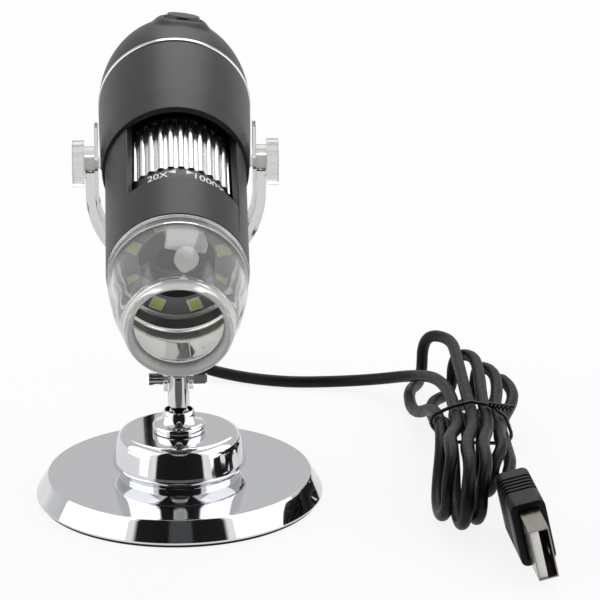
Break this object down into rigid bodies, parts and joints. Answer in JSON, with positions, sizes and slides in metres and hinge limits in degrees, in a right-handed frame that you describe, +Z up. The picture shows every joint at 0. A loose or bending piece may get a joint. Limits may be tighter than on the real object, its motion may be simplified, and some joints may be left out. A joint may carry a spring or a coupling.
{
  "type": "usb digital microscope",
  "caption": "Handheld USB microscope with clear lit nose and ribbed focus wheel, tilting in a clear yoke on a ball-jointed chrome stand, with a coiled cord and plug.",
  "frame": {"origin": "middle of the foot's underside on the table", "axes": "+Z up, -Y the way the nose points, +X to the right as seen from the nose side"},
  "size_m": [0.1185, 0.1661, 0.1083],
  "materials": {
    "chrome": "polished chrome plating",
    "steel": "plain steel",
    "pad": "matt foam rubber",
    "socket": "zinc-plated steel",
    "nylon": "moulded nylon",
    "clear": "clear polycarbonate",
    "shell_black": "satin rubber-like coating",
    "bright_trim": "bright silver trim",
    "wheel_chrome": "chrome-plated plastic",
    "band_black": "satin with white print",
    "board_dark": "solder-masked board",
    "board_green": "solder-masked board",
    "lamp": "phosphor lamps",
    "inner_black": "matt black moulding",
    "lens": "coated optical glass",
    "filter": "infrared filter glass",
    "chip": "moulded package",
    "button": "satin plastic",
    "switch": "moulded switch",
    "dimmer": "ribbed plastic",
    "cord": "smooth black jacket",
    "tie": "coated wire",
    "mold": "moulded black vinyl",
    "usb_steel": "nickel-plated steel",
    "tongue": "white moulding",
    "gold": "gold-plated contacts"
  },
  "bodies": {
    "base": {"foot_pad": "pad", "base_disc": "chrome", "ballast_plate": "steel", "hub_cup": "chrome", "hub_screw": "steel", "socket_cup": "socket"},
    "collar": {"collar_nut": "chrome"},
    "seat": {"ball_seat": "nylon"},
    "ball": {"ball_stud": "chrome"},
    "stem": {"stem": "chrome", "tilt_bolt": "steel", "tilt_nut": "steel"},
    "yoke": {"yoke": "clear", "yoke_strip": "clear"},
    "scope": {"pivot_pin_left": "clear", "pivot_pin_right": "clear", "lower_barrel": "shell_black", "upper_shell": "shell_black", "trim_ring": "bright_trim", "dome_cap": "shell_black", "nose_hood": "clear", "led_board": "board_dark", "leds": "lamp", "guide_tube": "inner_black", "wheel_clip": "steel", "sensor_board": "board_green", "image_sensor": "chip", "ir_filter": "filter", "main_board": "board_green", "board_chips": "chip", "button_switch": "switch", "dimmer_pot": "switch", "housing_screws": "steel", "strain_relief": "mold", "cord_lead": "cord", "cord_hank": "cord", "cord_tail": "cord", "twist_tie": "tie", "usb_overmold": "mold", "usb_shell": "usb_steel", "usb_tongue": "tongue", "usb_contacts": "gold"},
    "focus": {"focus_wheel": "wheel_chrome", "scale_band": "band_black"},
    "carriage": {"lens_barrel": "inner_black", "lens_front": "lens", "lens_ring": "inner_black", "lens_rear": "lens"},
    "button": {"snap_button": "button"},
    "dimmer": {"dimmer_wheel": "dimmer"}
  },
  "joints": [
    {"name": "collar_turn", "type": "hinge", "parent": "base", "child": "collar", "pos_m": [0, 0, 0.018], "axis": [0, 0, 1], "range_deg": [-90, 45]},
    {"name": "seat_swivel", "type": "hinge", "parent": "base", "child": "seat", "pos_m": [0, 0, 0.014], "axis": [0, 0, 1], "continuous": true},
    {"name": "ball_tilt", "type": "hinge", "parent": "seat", "child": "ball", "pos_m": [0, 0, 0.014], "axis": [1, 0, 0], "range_deg": [-10, 10]},
    {"name": "stem_turn", "type": "hinge", "parent": "ball", "child": "stem", "pos_m": [0, 0, 0.024], "axis": [0, 0, 1], "range_deg": [-90, 90]},
    {"name": "yoke_tilt", "type": "hinge", "parent": "stem", "child": "yoke", "pos_m": [0, 0, 0.02885], "axis": [1, 0, 0], "range_deg": [-20, 20]},
    {"name": "scope_pitch", "type": "hinge", "parent": "yoke", "child": "scope", "pos_m": [0, 0, 0.0812], "axis": [1, 0, 0], "range_deg": [-22, 25]},
    {"name": "focus_turn", "type": "hinge", "parent": "scope", "child": "focus", "pos_m": [0, -0.01353, 0.07761], "axis": [0, 0.9666, 0.2563], "range_deg": [-120, 120]},
    {"name": "lens_travel", "type": "slide", "parent": "scope", "child": "carriage", "axis": [0, 0.9666, 0.2563], "range_m": [-0.003, 0.003]},
    {"name": "button_press", "type": "slide", "parent": "scope", "child": "button", "axis": [-0.1411, -0.08, -0.9868], "range_m": [0, 0.0005], "stiffness_N_per_m": 600},
    {"name": "dimmer_turn", "type": "hinge", "parent": "scope", "child": "dimmer", "pos_m": [-0.0018, 0.03785, 0.07892], "axis": [0.9888, 0.0383, -0.1445], "range_deg": [-135, 135]}
  ],
  "couplings": [
    {"joint": "lens_travel", "follows": "focus_turn", "m_per_rad": -0.0014323}
  ]
}
